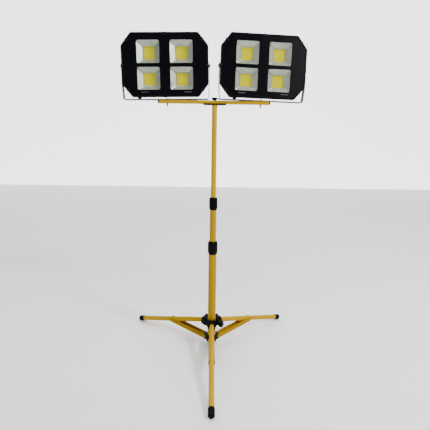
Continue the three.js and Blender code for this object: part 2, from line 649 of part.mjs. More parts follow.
for (const [name, side] of [['left', -1], ['right', 1]]) {
  const { yaw, roll } = HEAD_TURN[name];
  const outward = { outer: side, inner: -side };
  const onBar = group(bar, [side * HEAD_OFFSET, 0, 0]);
  add(onBar, `yoke_bolt_${name}`, yokeBolt(), darkSteel);
  add(onBar, `bar_nut_${name}`, barNut(), zinc);
  const turnedYoke = group(onBar, [0, 0, BAR_TOP + YOKE.washer], [0, deg(roll), deg(yaw), 'ZYX']);
  const head = group(turnedYoke, [HEAD_SHIFT[name], 0, YOKE.drop]);
  add(head, `yoke_${name}`, yoke(), zinc);
  for (const [place, way] of Object.entries(outward)) {
    add(head, `pivot_bolt_${name}_${place}`, pivotBolt(way), darkSteel);
  }
  add(head, `housing_${name}`, housing(), blackMetal);
  add(head, `front_frame_${name}`, frontFrame(), blackMetal);
  add(head, `glass_${name}`, glassPane(), clearGlass);
  add(head, `gasket_${name}`, gasket(), rubber);
  add(head, `reflector_${name}`, reflector(), silver);
  add(head, `led_board_${name}`, ledBoard(), phosphor);
  add(head, `driver_${name}`, driverBox(), whitePlastic);
  add(head, `cable_gland_${name}`, cableGland(), blackPlastic);
}

// ---- placing ------------------------------------------------------------------------------------------

work_light.updateMatrixWorld(true);
const whole = new THREE.Box3().setFromObject(work_light, true);
const middle = whole.getCenter(new THREE.Vector3());
work_light.position.set(-middle.x, -middle.y, -whole.min.z);

export default work_light;
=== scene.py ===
"""Twin-head LED work light on a telescopic tripod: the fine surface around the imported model.

Everything is in metres, in the model's own frame: +Z up, the lamps face -Y.
"""
import json
import math

import bmesh
import bpy
from mathutils import Matrix, Vector


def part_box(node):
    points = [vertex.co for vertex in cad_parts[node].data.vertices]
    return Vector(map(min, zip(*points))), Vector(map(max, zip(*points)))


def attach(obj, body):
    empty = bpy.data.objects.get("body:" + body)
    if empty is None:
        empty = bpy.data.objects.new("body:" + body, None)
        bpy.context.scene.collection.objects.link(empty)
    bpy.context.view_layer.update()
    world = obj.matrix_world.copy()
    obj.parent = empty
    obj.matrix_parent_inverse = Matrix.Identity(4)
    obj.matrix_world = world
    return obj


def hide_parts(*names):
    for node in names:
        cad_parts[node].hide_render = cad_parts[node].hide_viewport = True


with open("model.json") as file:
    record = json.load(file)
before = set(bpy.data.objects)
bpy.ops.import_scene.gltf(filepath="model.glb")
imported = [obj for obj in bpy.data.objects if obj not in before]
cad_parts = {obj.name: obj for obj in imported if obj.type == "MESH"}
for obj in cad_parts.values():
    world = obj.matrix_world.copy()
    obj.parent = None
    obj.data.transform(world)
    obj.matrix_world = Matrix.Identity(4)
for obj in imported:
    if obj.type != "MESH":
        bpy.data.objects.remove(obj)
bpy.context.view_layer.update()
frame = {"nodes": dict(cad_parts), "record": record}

MM = 0.001
JOINTS = {joint["name"]: joint for joint in frame["record"]["behaviour"]["joints"]}
SIDES = ("left", "right")
LEGS = ("front", "right", "left")


# ---- places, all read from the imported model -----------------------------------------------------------

def joint_place(name):
    """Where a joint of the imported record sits."""
    return Vector(JOINTS[name]["pos_m"])


MAST = joint_place("crossbar_swivel")


def on_mast(z):
    """The point of the mast's axis at height z."""
    return Vector((MAST.x, MAST.y, z))


def frame_from(x_axis, y_axis, origin):
    """The matrix whose X and Y columns are the given directions, at origin."""
    x_axis = x_axis.normalized()
    z_axis = x_axis.cross(y_axis).normalized()
    y_axis = z_axis.cross(x_axis)
    matrix = Matrix((x_axis, y_axis, z_axis)).transposed().to_4x4()
    matrix.translation = origin
    return matrix


def head_frame(side):
    """A lamp's own frame: origin on the tilt axis, +X to the right, +Y to the back."""
    joint = JOINTS[f"head_{side}_tilt"]
    x_axis = Vector(joint["axis"])
    return frame_from(x_axis, Vector((-x_axis.y, x_axis.x, 0)), Vector(joint["pos_m"]))


def leg_frame(leg):
    """A leg's own frame: origin on its hub pivot, +X along the leg, +Y along the pivot."""
    start = joint_place(f"leg_{leg}_fold")
    along = joint_place(f"brace_{leg}_fold") - start
    return frame_from(along, Vector(JOINTS[f"leg_{leg}_fold"]["axis"]), start)


FAR_END = 0.97                           # a brace's far end lies beyond this share of its reach


def brace_frame(leg):
    """A brace's own frame: origin on its rivet, +X towards the mast's foot."""
    rivet = joint_place(f"brace_{leg}_fold")
    points = [v.co for v in frame["nodes"][f"brace_{leg}"].data.vertices]
    reach = max((point - rivet).length for point in points)
    far_end = [point for point in points if (point - rivet).length > FAR_END * reach]
    middle = sum(far_end, Vector()) / len(far_end)
    return frame_from(middle - rivet, Vector(JOINTS[f"brace_{leg}_fold"]["axis"]), rivet)


# ---- camera -------------------------------------------------------------------------------------------

SENSOR = 36                              # millimetres
FOCAL = 26.790698                        # millimetres
SHIFT = -0.0465116                       # downwards, as a share of the sensor
NEAREST = 0.02
AIM = {"pitch": 8.39, "yaw": 0.77, "roll": 0.84}   # degrees
EYE = Vector((-0.0113, -1.352, 0.8862))  # from the mast's foot


def add_camera():
    """A camera before the mast, turned by AIM: pitch looks down, yaw to the right, roll anticlockwise."""
    pitch, yaw, roll = (math.radians(AIM[key]) for key in ("pitch", "yaw", "roll"))
    right = Vector((math.cos(yaw), -math.sin(yaw), 0))
    level = Vector((math.sin(yaw), math.cos(yaw), 0))
    up = level * math.sin(pitch) + Vector((0, 0, math.cos(pitch)))
    back = Vector((0, 0, math.sin(pitch))) - level * math.cos(pitch)
    rolled_right = right * math.cos(roll) + up * math.sin(roll)
    rolled_up = up * math.cos(roll) - right * math.sin(roll)
    data = bpy.data.cameras.new("camera")
    data.sensor_width = SENSOR
    data.lens = FOCAL
    data.shift_y = SHIFT
    data.clip_start = NEAREST
    camera = bpy.data.objects.new("camera", data)
    matrix = Matrix((rolled_right, rolled_up, back)).transposed().to_4x4()
    matrix.translation = on_mast(0) + EYE
    camera.matrix_world = matrix
    bpy.context.scene.collection.objects.link(camera)
    bpy.context.scene.camera = camera


add_camera()


# ---- materials ----------------------------------------------------------------------------------------

WEAR_STARTS, WEAR_FULL = 0.53, 0.6       # pointiness: 0.5 is flat


class Nodes:
    """A small helper that adds nodes to one material and links them."""

    def __init__(self, name):
        self.material = bpy.data.materials.new(name)
        self.material.use_nodes = True
        self.tree = self.material.node_tree
        self.shader = self.tree.nodes["Principled BSDF"]
        self.coords = self.tree.nodes.new("ShaderNodeTexCoord").outputs["Object"]

    def add(self, kind, links=None, **settings):
        """Adds a node; a setting goes to its property of that name or else to its input."""
        node = self.tree.nodes.new(kind)
        for key, value in settings.items():
            if hasattr(node, key):
                setattr(node, key, value)
            else:
                node.inputs[key].default_value = value
        for socket, source in (links or {}).items():
            self.tree.links.new(source, node.inputs[socket])
        return node

    def to_shader(self, socket, source):
        self.tree.links.new(source, self.shader.inputs[socket])

    def set(self, **sockets):
        """Gives the shader's sockets plain values."""
        for key, value in sockets.items():
            self.shader.inputs[key.replace("_", " ")].default_value = value

    def noise(self, scale, detail=3.0, stretch=None):
        """Noise from 0 to 1; stretch scales the coordinates on each axis first."""
        source = self.coords
        if stretch:
            mapping = self.add("ShaderNodeMapping", {"Vector": source})
            mapping.inputs["Scale"].default_value = stretch
            source = mapping.outputs["Vector"]
        node = self.add("ShaderNodeTexNoise", {"Vector": source}, Scale=scale, Detail=detail)
        return node.outputs["Fac"]

    def ramp(self, source, low, high, low_at=0.3, high_at=0.7):
        """The colour low where source is under low_at, high where it is over high_at."""
        node = self.add("ShaderNodeValToRGB", {"Fac": source})
        first, last = node.color_ramp.elements
        first.position, last.position = low_at, high_at
        first.color, last.color = low, high
        return node.outputs["Color"]

    def mix(self, factor, first, second, blend="MIX"):
        node = self.add("ShaderNodeMix", data_type="RGBA", blend_type=blend)
        for socket, value in ((0, factor), (6, first), (7, second)):
            if hasattr(value, "links"):
                self.tree.links.new(value, node.inputs[socket])
            else:
                node.inputs[socket].default_value = value
        return node.outputs[2]

    def range(self, source, low, high, from_low=0.0, from_high=1.0):
        """A value taken from one range to another and kept inside it."""
        node = self.add("ShaderNodeMapRange", {"Value": source})
        limits = {"From Min": from_low, "From Max": from_high, "To Min": low, "To Max": high}
        for key, value in limits.items():
            node.inputs[key].default_value = value
        return node.outputs["Result"]

    def bump(self, source, strength, distance, normal=None):
        links = {"Height": source}
        if normal:
            links["Normal"] = normal
        node = self.add("ShaderNodeBump", links)
        node.inputs["Strength"].default_value = strength
        node.inputs["Distance"].default_value = distance
        return node.outputs["Normal"]

    def edges(self):
        """White where the surface turns sharply outwards, from the mesh's own curvature."""
        geometry = self.add("ShaderNodeNewGeometry")
        return self.range(geometry.outputs["Pointiness"], 0.0, 1.0, WEAR_STARTS, WEAR_FULL)


def srgb(red, green, blue):
    """A colour given as 0 to 255 on screen, as linear values with alpha."""
    def linear(value):
        value /= 255
        return value / 12.92 if value <= 0.04045 else ((value + 0.055) / 1.055) ** 2.4
    return (linear(red), linear(green), linear(blue), 1.0)


def scaled(color, factor):
    return tuple(min(1.0, channel * factor) for channel in color[:3]) + (1.0,)


def coated(name, color, rough, peel, wear, shine):
    """Powder coat or paint: slow colour drift, orange peel, fine rubs and worn edges."""
    n = Nodes(name)
    drift = n.ramp(n.noise(9), scaled(color, 0.86), scaled(color, 1.12))
    specks = n.ramp(n.noise(900, 2), scaled(color, 0.9), scaled(color, 1.05), 0.35, 0.65)
    base = n.mix(0.35, drift, specks)
    rubs = n.range(n.noise(70, 4, (1, 1, 0.12)), 0.0, 1.0, 0.62, 0.72)
    rubbed = n.mix(n.range(rubs, 0.0, 0.35), base, scaled(color, 0.6))
    worn = n.mix(n.range(n.edges(), 0.0, 0.5), rubbed, wear)
    n.to_shader("Base Color", worn)
    n.to_shader("Roughness", n.range(n.noise(35, 4), rough - 0.07, rough + 0.12))
    peel_bump = n.bump(n.noise(peel, 2), 0.35, 0.0004)
    n.to_shader("Normal", n.bump(n.noise(12, 3), 0.12, 0.001, peel_bump))
    n.set(Specular_IOR_Level=shine)
    return n.material


def moulded(name, color, rough, grain=1400, dust_tint=(60, 58, 55), shine=0.2):
    """Moulded plastic or rubber: fine spark texture, dusty patches and faintly dusty edges."""
    n = Nodes(name)
    drift = n.ramp(n.noise(16, 4), scaled(color, 0.8), scaled(color, 1.35))
    dust = n.range(n.noise(45, 5), 0.0, 0.1, 0.55, 0.8)
    dusty = n.mix(dust, drift, srgb(*dust_tint))
    n.to_shader("Base Color", n.mix(n.range(n.edges(), 0.0, 0.2), dusty, srgb(*dust_tint)))
    n.to_shader("Roughness", n.range(n.noise(60, 4), rough - 0.1, rough + 0.1))
    n.to_shader("Normal", n.bump(n.noise(grain, 2), 0.3, 0.0002))
    n.set(Specular_IOR_Level=shine)
    return n.material


def plated(name, color, rough, spangle=False, metal=1.0, shine=0.5):
    """Zinc-plated or blackened steel, with a spangle on hot-dipped sheet."""
    n = Nodes(name)
    drift = n.ramp(n.noise(25, 4), scaled(color, 0.78), scaled(color, 1.1))
    if spangle:
        cells = n.add("ShaderNodeTexVoronoi", {"Vector": n.coords}, Scale=160.0)
        grey = n.range(cells.outputs["Color"], 0.8, 1.1)
        drift = n.mix(0.6, drift, n.mix(1.0, drift, grey, "MULTIPLY"))
    n.to_shader("Base Color", n.mix(n.range(n.edges(), 0.0, 0.3), drift, scaled(color, 1.5)))
    n.to_shader("Roughness", n.range(n.noise(120, 3, (1, 1, 0.15)), rough - 0.08, rough + 0.14))
    n.to_shader("Normal", n.bump(n.noise(500, 2, (1, 1, 0.2)), 0.15, 0.0002))
    n.set(Metallic=metal, Specular_IOR_Level=shine)
    return n.material


def frosted_silver():
    """The reflector's skin: bright satin metal over a moulded, softly stippled tray."""
    n = Nodes("reflector_silver")
    tint = n.ramp(n.noise(30, 3), srgb(168, 180, 165), srgb(196, 205, 190))
    n.to_shader("Base Color", tint)
    n.to_shader("Roughness", n.range(n.noise(90, 3), 0.3, 0.42))
    n.to_shader("Normal", n.bump(n.noise(650, 2), 0.35, 0.0003))
    n.set(Metallic=0.55)
    return n.material


def phosphor():
    """The chip's cured phosphor: a yellow gel with a faint grain."""
    n = Nodes("phosphor")
    tint = n.ramp(n.noise(70, 4), (0.66, 0.6, 0.0, 1), (0.74, 0.68, 0.0, 1))
    grains = n.add("ShaderNodeTexVoronoi", {"Vector": n.coords}, Scale=420.0)
    dots = n.range(grains.outputs["Distance"], 0.0, 0.25, 0.1, 0.3)
    n.to_shader("Base Color", n.mix(dots, tint, (0.79, 0.72, 0.0, 1)))
    n.to_shader("Roughness", n.range(n.noise(50), 0.45, 0.6))
    n.to_shader("Normal", n.bump(n.noise(300, 2), 0.2, 0.0003))
    n.set(Specular_IOR_Level=0.0)
    return n.material


def printed_glass():
    """The black ceramic print round the windows: smooth, with faint wiping marks and dust."""
    n = Nodes("printed_glass")
    base = n.ramp(n.noise(14, 4), (0.0014, 0.0014, 0.0027, 1), (0.0024, 0.0024, 0.0042, 1))
    dust = n.range(n.noise(150, 5), 0.0, 0.02, 0.5, 0.75)
    n.to_shader("Base Color", n.mix(dust, base, (0.06, 0.06, 0.07, 1)))
    n.to_shader("Roughness", n.range(n.noise(18, 4, (1, 1, 0.3)), 0.18, 0.3))
    n.to_shader("Normal", n.bump(n.noise(8, 2), 0.03, 0.001))
    n.set(Specular_IOR_Level=0.08)
    return n.material


def clear_glass():
    """The lamp's clear tempered glass."""
    n = Nodes("clear_glass")
    n.set(Base_Color=(0.02, 0.02, 0.02, 1), IOR=1.46)
    n.to_shader("Alpha", n.range(n.noise(11, 4), 0.05, 0.09))
    n.to_shader("Roughness", n.range(n.noise(20, 4), 0.02, 0.07))
    n.to_shader("Normal", n.bump(n.noise(6, 2), 0.02, 0.001))
    return n.material


YELLOW = coated("yellow_powder_coat", (0.43, 0.25, 0.0, 1), 0.5, 420, (0.55, 0.36, 0.02, 1), 0.04)
# Painted shade: a darker copy of the yellow coat for the lower and mid mast tubes and the braces, standing in
# for the lower parts getting less light from above.
YELLOW_SHADED = coated("yellow_painted_shade", (0.325, 0.18, 0.0, 1), 0.5, 420, (0.5, 0.32, 0.02, 1), 0.04)
BLACK_CAST = coated("black_cast", (0.0016, 0.0016, 0.0028, 1), 0.6, 700, (0.02, 0.02, 0.024, 1), 0.08)
BLACK_STEEL = coated("black_steel", (0.003, 0.003, 0.003, 1), 0.5, 600, (0.03, 0.03, 0.032, 1), 0.12)
BLACK_PLASTIC = moulded("black_plastic", (0.0018, 0.0018, 0.0022, 1), 0.55,
                        dust_tint=(34, 33, 32), shine=0.06)
RUBBER = moulded("rubber", (0.002, 0.002, 0.002, 1), 0.82, 700, dust_tint=(48, 46, 43), shine=0.1)
WHITE_PLASTIC = moulded("white_plastic", srgb(196, 194, 186), 0.5, dust_tint=(150, 146, 138))
ZINC = plated("zinc_plate", srgb(120, 120, 122), 0.36)
# Zinc with a spangle, whose dark grey is partly painted shade: darker than the lit zinc, standing in for the
# shade on the yoke's arms.
GALVANISED_SHADED = plated("galvanised_strap_shaded", srgb(88, 89, 92), 0.62, spangle=True, metal=0.15, shine=0.1)
DARK_BOLT = plated("blackened_bolt", srgb(24, 24, 26), 0.55, metal=0.15, shine=0.15)
SCREW = plated("screw_steel", srgb(92, 92, 96), 0.42)
SILVER = frosted_silver()
PHOSPHOR = phosphor()
PRINTED = printed_glass()
MARKS = moulded("printed_marks", (0.085, 0.086, 0.09, 1), 0.4, 900)
CLEAR = clear_glass()
CERAMIC = moulded("chip_ceramic", srgb(206, 206, 196), 0.45, 500, (190, 190, 180))


# ---- mesh tools ---------------------------------------------------------------------------------------

def place(name, mesh, matrix, body, material, replaced=(), smooth=35):
    """Makes the object where matrix puts it, shades it and hands it to its body."""
    mesh.transform(matrix)
    piece = bpy.data.objects.new(name, mesh)
    bpy.context.scene.collection.objects.link(piece)
    mesh.materials.clear()
    mesh.materials.append(material)
    for polygon in mesh.polygons:
        polygon.use_smooth = True
    mesh.set_sharp_from_angle(angle=math.radians(smooth))
    weighted = piece.modifiers.new("weighted", "WEIGHTED_NORMAL")
    weighted.keep_sharp = True
    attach(piece, body)
    if replaced:
        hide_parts(*replaced)


def finished(bm, name):
    """The bmesh made a mesh, its double points joined and its faces turned outwards."""
    bmesh.ops.remove_doubles(bm, verts=bm.verts, dist=1e-7)
    bmesh.ops.recalc_face_normals(bm, faces=bm.faces)
    mesh = bpy.data.meshes.new(name)
    bm.to_mesh(mesh)
    bm.free()
    return mesh


def rounded_edges(bm, width, segments, angle):
    """Rounds every edge sharper than angle."""
    sharp = [e for e in bm.edges if e.is_manifold and e.calc_face_angle() > math.radians(angle)]
    bmesh.ops.bevel(bm, geom=sharp, offset=width, offset_type="OFFSET", segments=segments,
                    profile=0.5, affect="EDGES", clamp_overlap=True)


def lathe(profile, segments, wobble=None):
    """A body turned about Z from [(radius, z)]; wobble(angle, radius, z) may change a point's radius."""
    bm = bmesh.new()
    rows = []
    for radius, z in profile:
        if radius < 1e-9:
            rows.append([bm.verts.new((0, 0, z))])
            continue
        row = []
        for i in range(segments):
            angle = 2 * math.pi * i / segments
            reach = wobble(angle, radius, z) if wobble else radius
            row.append(bm.verts.new((reach * math.cos(angle), reach * math.sin(angle), z)))
        rows.append(row)
    for lower, upper in zip(rows, rows[1:]):
        for i in range(segments):
            j = (i + 1) % segments
            corners = [lower[i % len(lower)], lower[j % len(lower)]]
            corners += [upper[j % len(upper)], upper[i % len(upper)]]
            unique = list(dict.fromkeys(corners))
            if len(unique) > 2:
                bm.faces.new(unique)
    return bm


def arc(cx, cz, r, start, end, steps):
    """Points of an arc, angles in degrees from +X towards +Z."""
    angles = [math.radians(start + (end - start) * i / steps) for i in range(steps + 1)]
    return [(cx + r * math.cos(a), cz + r * math.sin(a)) for a in angles]


def rounded_rectangle(wide, high, r, cx=0.0, cz=0.0, steps=6):
    x, z = wide / 2 - r, high / 2 - r
    corners = [(x, z, 0), (-x, z, 90), (-x, -z, 180), (x, -z, 270)]
    return [p for px, pz, a in corners for p in arc(cx + px, cz + pz, r, a, a + 90, steps)]


def circle(cx, cz, r):
    steps = 32
    return arc(cx, cz, r, 0, 360 - 360 / steps, steps - 1)


def slab(loops, low, high, bevel=0.0):
    """Closed outlines (the first outside, the rest holes) given thickness along Z, with rounded rims."""
    curve = bpy.data.curves.new("outline", "CURVE")
    curve.dimensions = "2D"
    curve.fill_mode = "BOTH"
    curve.extrude = (high - low) / 2 - bevel
    curve.bevel_depth = bevel
    curve.bevel_resolution = 2
    curve.offset = -bevel
    for loop in loops:
        spline = curve.splines.new("POLY")
        spline.points.add(len(loop) - 1)
        for point, (x, y) in zip(spline.points, loop):
            point.co = (x, y, 0, 1)
        spline.use_cyclic_u = True
    holder = bpy.data.objects.new("outline", curve)
    bpy.context.scene.collection.objects.link(holder)
    depsgraph = bpy.context.evaluated_depsgraph_get()
    mesh = bpy.data.meshes.new_from_object(holder.evaluated_get(depsgraph))
    bpy.data.objects.remove(holder)
    bpy.data.curves.remove(curve)
    bm = bmesh.new()
    bm.from_mesh(mesh)
    bpy.data.meshes.remove(mesh)
    bmesh.ops.translate(bm, verts=bm.verts, vec=(0, 0, (low + high) / 2))
    return bm


def standing(bm):
    """Turns a slab drawn in X and Y so that its outline stands in X and Z and its thickness runs along Y."""
    bmesh.ops.transform(bm, matrix=Matrix.Rotation(math.radians(90), 4, "X"), verts=bm.verts)
    bmesh.ops.scale(bm, vec=(1, -1, 1), verts=bm.verts)
    bmesh.ops.reverse_faces(bm, faces=bm.faces)
    return bm


def merged(*parts):
    """One bmesh from several; each may be a pair of bmesh and matrix."""
    whole = bmesh.new()
    for part in parts:
        bm, matrix = part if isinstance(part, tuple) else (part, Matrix())
        bm.transform(matrix)
        mesh = bpy.data.meshes.new("part")
        bm.to_mesh(mesh)
        bm.free()
        whole.from_mesh(mesh)
        bpy.data.meshes.remove(mesh)
    return whole


def along_x(sign=1):
    """Turns +Z to +X, or to -X."""
    return Matrix.Rotation(math.radians(90 * sign), 4, "Y")


def along_y(sign=1):
    """Turns +Z to +Y, or to -Y."""
    return Matrix.Rotation(math.radians(-90 * sign), 4, "X")


# Turns a section drawn in X and Y to stand in Y and Z, with its length along X.
LENGTH_ALONG_X = Matrix(((0, 0, 1, 0), (1, 0, 0, 0), (0, 1, 0, 0), (0, 0, 0, 1)))


def hexagon_prism(across, low, high, chamfer):
    """A bolt head or nut along Z with its corners turned off at the top."""
    r = across / math.sqrt(3)
    return lathe([(0, low), (r, low), (r, high - chamfer), (across / 2 * 0.97, high), (0, high)], 6)


def refined_piece(node, suffix, body, material, slot, width, segments=3, angle=30):
    """Stands in for a CAD node: a copy of its mesh, its flat faces made whole and its edges rounded."""
    bm = bmesh.new()
    bm.from_mesh(frame["nodes"][node].data)
    bmesh.ops.remove_doubles(bm, verts=bm.verts, dist=1e-6)
    bmesh.ops.dissolve_limit(bm, angle_limit=math.radians(1), verts=bm.verts, edges=bm.edges)
    rounded_edges(bm, width, segments, angle)
    place(f"{node}_{suffix}", finished(bm, node), Matrix(), body, material, [node])


def domed_head(r, low, rise):
    """A rivet or pan head standing on low, along Z."""
    profile = [(0, low), (r, low), (r, low + rise * 0.3)]
    for a in (25, 50, 70):
        height = rise * (0.3 + 0.7 * math.sin(math.radians(a)))
        profile.append((r * math.cos(math.radians(a)), low + height))
    profile.append((0, low + rise))
    return lathe(profile, 24)


# ---- mast ---------------------------------------------------------------------------------------------

def tube_piece(node, body, wall, material):
    """A mast tube, its outer edges turned off at both ends."""
    low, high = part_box(node)
    r = (high.x - low.x) / 2
    lip = 0.4 * MM
    profile = [(r - wall, low.z), (r - lip, low.z), (r, low.z + lip), (r, high.z - lip), (r - lip, high.z),
               (r - wall, high.z), (r - wall, low.z)]
    mesh = finished(lathe(profile, 72), node)
    place(f"{node}_coated", mesh, Matrix.Translation(on_mast(0)), body, material, [node])


def twist_lock_piece(node, body, inner_node, ribs):
    """A barrel collar with grip ribs round its middle and a stepped, rounded mouth."""
    low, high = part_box(node)
    inner_low, inner_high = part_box(inner_node)
    r = (high.x - low.x) / 2
    bore = (inner_high.x - inner_low.x) / 2 + 0.3 * MM
    long = high.z - low.z
    rib_low, rib_high = low.z + 0.24 * long, high.z - 0.24 * long

    def grip(angle, radius, z):
        """Sinks narrow grooves into the barrel's outside, between its two rims."""
        if radius < r - 1.2 * MM or not rib_low < z < rib_high:
            return radius
        return radius - 0.9 * MM * (0.5 + 0.5 * math.cos(ribs * angle)) ** 3

    wide = r - 1.6 * MM
    profile = [(wide - 2.2 * MM, low.z), (wide - 1.4 * MM, low.z + 0.6 * MM)]
    profile += [(wide - 0.9 * MM, low.z + 2.5 * MM), (r - 1 * MM, low.z + 0.12 * long)]
    profile += [(r, rib_low - 1.5 * MM), (r - 0.7 * MM, rib_low - 0.5 * MM)]
    profile += [(r, rib_low + 0.2 * MM + (rib_high - rib_low - 0.4 * MM) * i / 8) for i in range(9)]
    profile += [(r - 0.7 * MM, rib_high + 0.5 * MM), (r, rib_high + 1.5 * MM)]
    profile += [(r - 0.5 * MM, high.z - 0.12 * long)]
    profile += [(wide, high.z - 4 * MM), (wide - 1.2 * MM, high.z - 1.2 * MM), (wide - 3.2 * MM, high.z)]
    profile += [(bore + 1 * MM, high.z), (bore, high.z - 1 * MM), (bore, high.z - 12 * MM)]
    profile += [(wide - 3 * MM, high.z - 30 * MM), (wide - 2.6 * MM, low.z)]
    mesh = finished(lathe(profile, ribs * 8, grip), node)
    place(f"{node}_grip", mesh, Matrix.Translation(on_mast(0)), body, BLACK_PLASTIC, [node])


def build_mast():
    # The lower and mid tubes take the darker yellow copy: painted shade.
    tube_piece("lower_tube", "base", 1.5 * MM, YELLOW_SHADED)
    tube_piece("mid_tube", "mid_mast", 1.2 * MM, YELLOW_SHADED)
    tube_piece("top_tube", "top_mast", 1.2 * MM, YELLOW)
    twist_lock_piece("twist_lock_lower", "lower_lock", "mid_tube", 20)
    twist_lock_piece("twist_lock_upper", "upper_lock", "top_tube", 18)


# ---- tripod -------------------------------------------------------------------------------------------

LEG_R = 10.5 * MM
CAP_LENGTH = 30 * MM
CAP_R = 12.2 * MM
CAP_ROUND = 6 * MM


def leg_reach(leg):
    """How far the foot cap's end lies from the hub pivot, along the leg."""
    matrix = leg_frame(leg).inverted()
    node = frame["nodes"][f"foot_cap_{leg}"]
    return max((matrix @ v.co).x for v in node.data.vertices)


def leg_piece(leg):
    """A leg: a round tube, domed at the hub, that ends inside its foot cap."""
    end = leg_reach(leg) - 5 * MM
    dome = [(LEG_R * math.sin(math.radians(a)), -LEG_R * math.cos(math.radians(a))) for a in range(0, 91, 15)]
    bm = lathe(dome + [(LEG_R, end - 0.5 * MM), (LEG_R - 0.5 * MM, end), (0, end)], 48)
    bm.transform(along_x())
    node = f"leg_{leg}"
    place(f"{node}_coated", finished(bm, node), leg_frame(leg), node, YELLOW, [node])


def foot_cap_piece(leg):
    """A ribbed rubber boot with a rolled mouth and a rounded end, cut level where it stands."""
    reach = leg_reach(leg)
    start = reach - CAP_LENGTH
    bore = LEG_R + 0.25 * MM
    profile = [(bore, start + 0.4 * MM), (bore + 0.5 * MM, start)]
    profile += [(CAP_R - 0.3 * MM, start), (CAP_R, start + 0.6 * MM)]
    profile += [(CAP_R, start + 3.4 * MM), (CAP_R - 0.5 * MM, start + 4.2 * MM)]
    for i in range(2):
        ridge = start + (8.5 + 5 * i) * MM
        profile += [(CAP_R - 0.6 * MM, ridge - 1.4 * MM), (CAP_R - 0.1 * MM, ridge - 0.8 * MM)]
        profile += [(CAP_R - 0.1 * MM, ridge + 0.8 * MM), (CAP_R - 0.6 * MM, ridge + 1.4 * MM)]
    profile += [(CAP_R, reach - 11 * MM)]
    profile += arc(CAP_R - CAP_ROUND, reach - CAP_ROUND, CAP_ROUND, 0, 90, 6)
    profile += [(0, reach)]
    bm = lathe(profile, 48)
    bm.transform(along_x())
    world = leg_frame(leg)
    inverse = world.inverted()
    for vertex in bm.verts:
        spot = world @ vertex.co
        if spot.z < 0:
            spot.z = 0.0
            vertex.co = inverse @ spot
    node = f"foot_cap_{leg}"
    place(f"{node}_boot", finished(bm, node), world, f"leg_{leg}", RUBBER, [node])


def brace_piece(leg):
    """A brace: a pressed channel, open upwards, with the plated heads of its pivot pin."""
    node = f"brace_{leg}"
    # The brace takes the darker yellow copy: painted shade.
    refined_piece(node, "channel", node, YELLOW_SHADED, "yellow_paint", 0.5 * MM, 2)
    matrix = brace_frame(leg)
    inverse = matrix.inverted()
    points = [inverse @ v.co for v in frame["nodes"][node].data.vertices]
    reach = max(abs(point.y) for point in points)
    crown = [point for point in points if abs(point.y) > reach - 0.1 * MM]
    middle = sum(crown, Vector()) / len(crown)
    pivot = matrix @ Matrix.Translation((middle.x, 0, middle.z))
    heads = [(domed_head(4.8 * MM, reach - 1.2 * MM, 1.6 * MM), along_y(sign)) for sign in (1, -1)]
    place(f"{node}_pin_heads", finished(merged(*heads), node), pivot, node, ZINC)


def pin_piece(node, matrix, body, material, rise=1.4 * MM):
    """A rivet along Y with two domed heads and a washer under each."""
    inverse = matrix.inverted()
    reach = max(abs((inverse @ v.co).y) for v in frame["nodes"][node].data.vertices)
    seat = reach - 2 * MM
    parts = [(lathe([(0, -seat), (3 * MM, -seat), (3 * MM, seat), (0, seat)], 24), along_y())]
    for sign in (1, -1):
        washer = lathe([(0, seat), (5.8 * MM, seat), (6 * MM, seat + 0.3 * MM), (5.6 * MM, seat + 0.7 * MM),
                        (0, seat + 0.7 * MM)], 32)
        parts.append((washer, along_y(sign)))
        parts.append((domed_head(4.6 * MM, seat + 0.6 * MM, rise), along_y(sign)))
    place(f"{node}_head", finished(merged(*parts), node), matrix, body, material, [node])


def build_tripod():
    plastic = (BLACK_PLASTIC, "black_plastic")
    refined_piece("leg_hub", "moulding", "hub", *plastic, 1.2 * MM)
    refined_piece("brace_collar", "moulding", "base", *plastic, 0.9 * MM)
    refined_piece("hub_lock_knob", "moulding", "hub_knob", *plastic, 0.8 * MM)
    for leg in LEGS:
        leg_piece(leg)
        foot_cap_piece(leg)
        brace_piece(leg)
        hinge = leg_frame(leg)
        pin_piece(f"leg_pin_{leg}", hinge, "hub", DARK_BOLT)
        rivet = hinge @ Matrix.Translation(hinge.inverted() @ joint_place(f"brace_{leg}_fold"))
        pin_piece(f"brace_rivet_{leg}", rivet, f"leg_{leg}", YELLOW, 0.7 * MM)


# ---- crossbar -----------------------------------------------------------------------------------------

def build_crossbar():
    """The square tube with its end plugs, and the saddle and knob that hold it on the mast."""
    low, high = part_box("crossbar")
    deep, tall, long = high.y - low.y, high.z - low.z, high.x - low.x
    wall = 1.5 * MM
    outside = rounded_rectangle(deep, tall, 2 * MM)
    inside = rounded_rectangle(deep - 2 * wall, tall - 2 * wall, 1 * MM)
    bm = slab([outside, inside], -long / 2, long / 2, 0.2 * MM)
    bm.transform(LENGTH_ALONG_X)
    spot = Matrix.Translation((low + high) / 2)
    mesh = finished(bm, "crossbar")
    place("crossbar_coated", mesh, spot, "bar", YELLOW, ["crossbar"])
    plastic = (BLACK_PLASTIC, "black_plastic")
    for side in SIDES:
        refined_piece(f"crossbar_cap_{side}", "plug", "bar", *plastic, 1.2 * MM)
    refined_piece("crossbar_saddle", "plate", "top_mast", BLACK_STEEL, "black_steel", 0.8 * MM)
    refined_piece("crossbar_knob", "moulding", "bar_knob", *plastic, 0.7 * MM)


# ---- lamp heads ---------------------------------------------------------------------------------------

def local_box(node, matrix):
    """A CAD node's lowest and highest corners in the given frame."""
    inverse = matrix.inverted()
    points = [inverse @ v.co for v in frame["nodes"][node].data.vertices]
    low = Vector([min(p[i] for p in points) for i in range(3)])
    high = Vector([max(p[i] for p in points) for i in range(3)])
    return low, high


